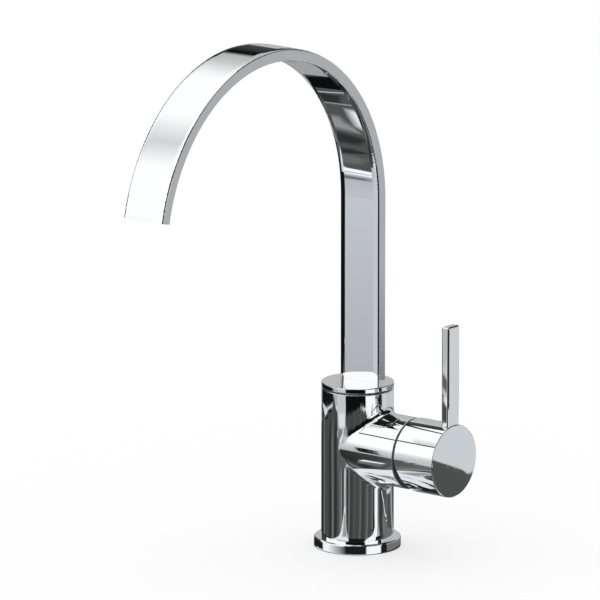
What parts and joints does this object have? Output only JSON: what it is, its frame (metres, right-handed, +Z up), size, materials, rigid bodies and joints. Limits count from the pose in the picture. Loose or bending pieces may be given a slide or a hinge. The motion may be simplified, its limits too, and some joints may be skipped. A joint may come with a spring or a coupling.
{
  "type": "kitchen faucet",
  "caption": "Single-lever kitchen faucet: round body on a flanged foot, side branch with an upright bar lever, and a swivelling flat ribbon spout in a high arch.",
  "frame": {"origin": "centre of the foot, on the sink deck", "axes": "+Z up, the spout reaches towards -Y, the side branch with the lever points along +X"},
  "size_m": [0.1028, 0.239, 0.3337],
  "materials": {
    "chrome_plate": "polished",
    "brass": "turned",
    "steel": "machined",
    "seal_rubber": "matte",
    "white_plastic": "moulded",
    "dark_plastic": "moulded",
    "disc_ceramic": "lapped"
  },
  "bodies": {
    "fixed_body": {"base_ring": "chrome_plate", "base_seal": "seal_rubber", "body_shell": "chrome_plate", "spout_screw": "steel", "port_seals": "seal_rubber", "cartridge_base": "dark_plastic", "disc_seals": "seal_rubber", "fixed_disc": "disc_ceramic", "cartridge_housing": "white_plastic", "cartridge_nut": "brass", "dome_ring": "dark_plastic", "glide_ring": "dark_plastic"},
    "spout": {"swivel_collar": "chrome_plate", "spout_tube": "chrome_plate", "spout_spigot": "brass", "spigot_seals": "seal_rubber", "outlet_insert": "white_plastic"},
    "rotor": {"cartridge_rotor": "dark_plastic", "pivot_pin": "steel"},
    "lever": {"lever_stem": "steel", "lever_cap": "chrome_plate", "lever_bar": "chrome_plate", "lever_screw": "steel"},
    "disc_shoe": {"disc_carrier": "white_plastic", "moving_disc": "disc_ceramic"}
  },
  "joints": [
    {"name": "spout_swivel", "type": "hinge", "parent": "fixed_body", "child": "spout", "pos_m": [0, 0, 0.1016], "axis": [0, 0, 1], "continuous": true},
    {"name": "lever_turn", "type": "hinge", "parent": "fixed_body", "child": "rotor", "pos_m": [0.03602, 0, 0.0656], "axis": [1, 0, 0], "range_deg": [-45, 45]},
    {"name": "lever_tilt", "type": "hinge", "parent": "rotor", "child": "lever", "pos_m": [0.03602, 0, 0.0656], "axis": [0, 1, 0], "range_deg": [0, 17]},
    {"name": "disc_slide", "type": "slide", "parent": "rotor", "child": "disc_shoe", "axis": [0, 0, 1], "range_m": [0, 0.0039]}
  ],
  "couplings": [
    {"joint": "disc_slide", "follows": "lever_tilt", "m_per_rad": 0.01281}
  ]
}
